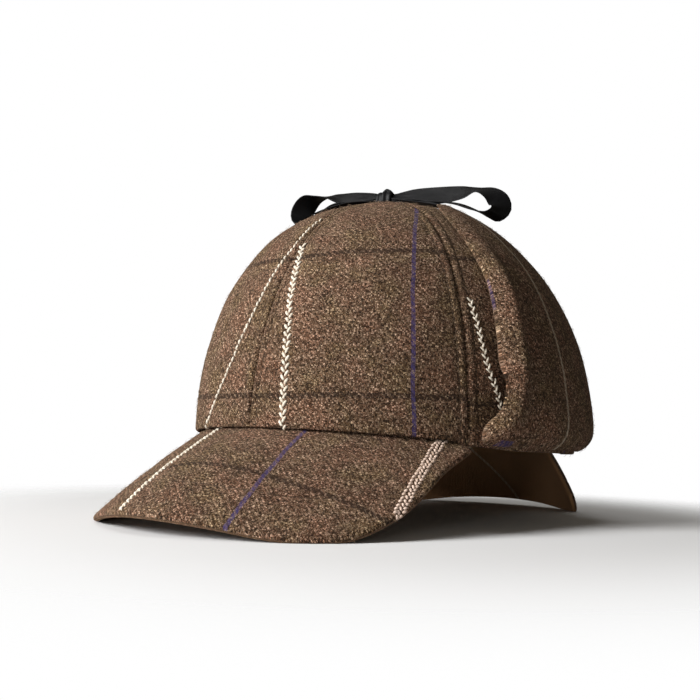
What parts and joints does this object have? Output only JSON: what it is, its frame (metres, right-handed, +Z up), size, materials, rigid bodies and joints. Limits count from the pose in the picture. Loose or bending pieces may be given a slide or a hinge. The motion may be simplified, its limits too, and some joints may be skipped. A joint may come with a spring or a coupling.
{
  "type": "deerstalker hat",
  "caption": "Tweed deerstalker hat with peaks front and back, its ear flaps folded up and tied over the crown with a satin ribbon bow.",
  "frame": {"origin": "on the surface that the hat rests on, below the middle of the whole hat's box", "axes": "+Z up out of the crown, -Y towards the front peak, +X towards the wearer's left"},
  "size_m": [0.1892, 0.271, 0.1595],
  "materials": {
    "tweed": "brown wool tweed with a windowpane check",
    "satin": "black satin ribbon"
  },
  "bodies": {
    "root": {"crown_front_left": "tweed", "crown_side_left": "tweed", "crown_back_left": "tweed", "crown_back_right": "tweed", "crown_side_right": "tweed", "crown_front_right": "tweed", "front_peak": "tweed", "back_peak": "tweed", "ear_flap_left": "tweed", "ear_flap_right": "tweed", "ribbon_left": "satin", "ribbon_right": "satin", "bow_loop_left": "satin", "bow_loop_right": "satin", "bow_tail_left": "satin", "bow_tail_right": "satin", "bow_knot": "satin"}
  },
  "joints": []
}
